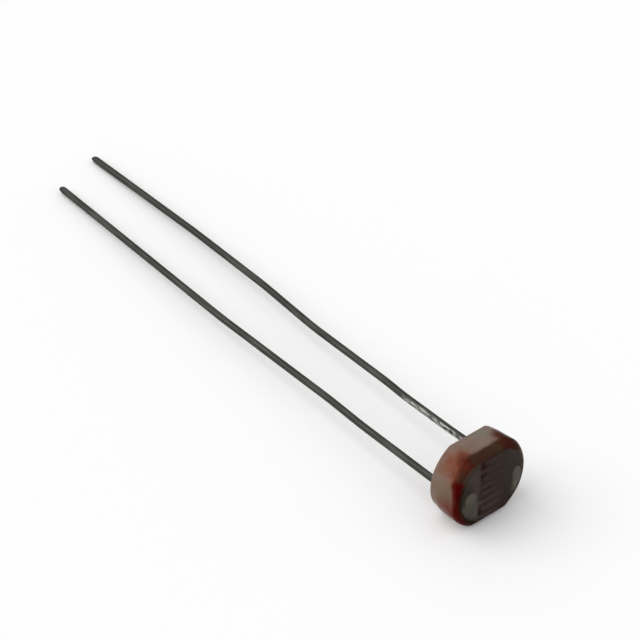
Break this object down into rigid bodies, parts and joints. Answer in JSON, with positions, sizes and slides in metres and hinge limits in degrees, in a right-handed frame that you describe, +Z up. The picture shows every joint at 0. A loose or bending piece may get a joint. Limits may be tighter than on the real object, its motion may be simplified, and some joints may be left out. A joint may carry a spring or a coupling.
{
  "type": "photoresistor",
  "caption": "Light-dependent resistor: a flatted ceramic button with a winding light-sensitive track under clear resin and long wire leads.",
  "frame": {"origin": "on the table under the middle of the part as it lies at rest", "axes": "+Y along the leads, away from the sensing face; +Z up; X from the left lead to the right lead, seen from the face"},
  "size_m": [0.005, 0.0361, 0.0045],
  "materials": {
    "ceramic": "matte, fired, faintly stained",
    "film": "matte sintered layer",
    "electrode": "dull evaporated metal",
    "paste": "matte, metal-filled",
    "wire": "tinned, dull satin",
    "resin": "clear, glossy"
  },
  "bodies": {
    "root": {"ceramic_base": "ceramic", "cds_film": "film", "electrode_left": "electrode", "electrode_right": "electrode", "contact_left": "paste", "contact_right": "paste", "lead_left": "wire", "lead_right": "wire", "clear_coat": "resin"}
  },
  "joints": []
}
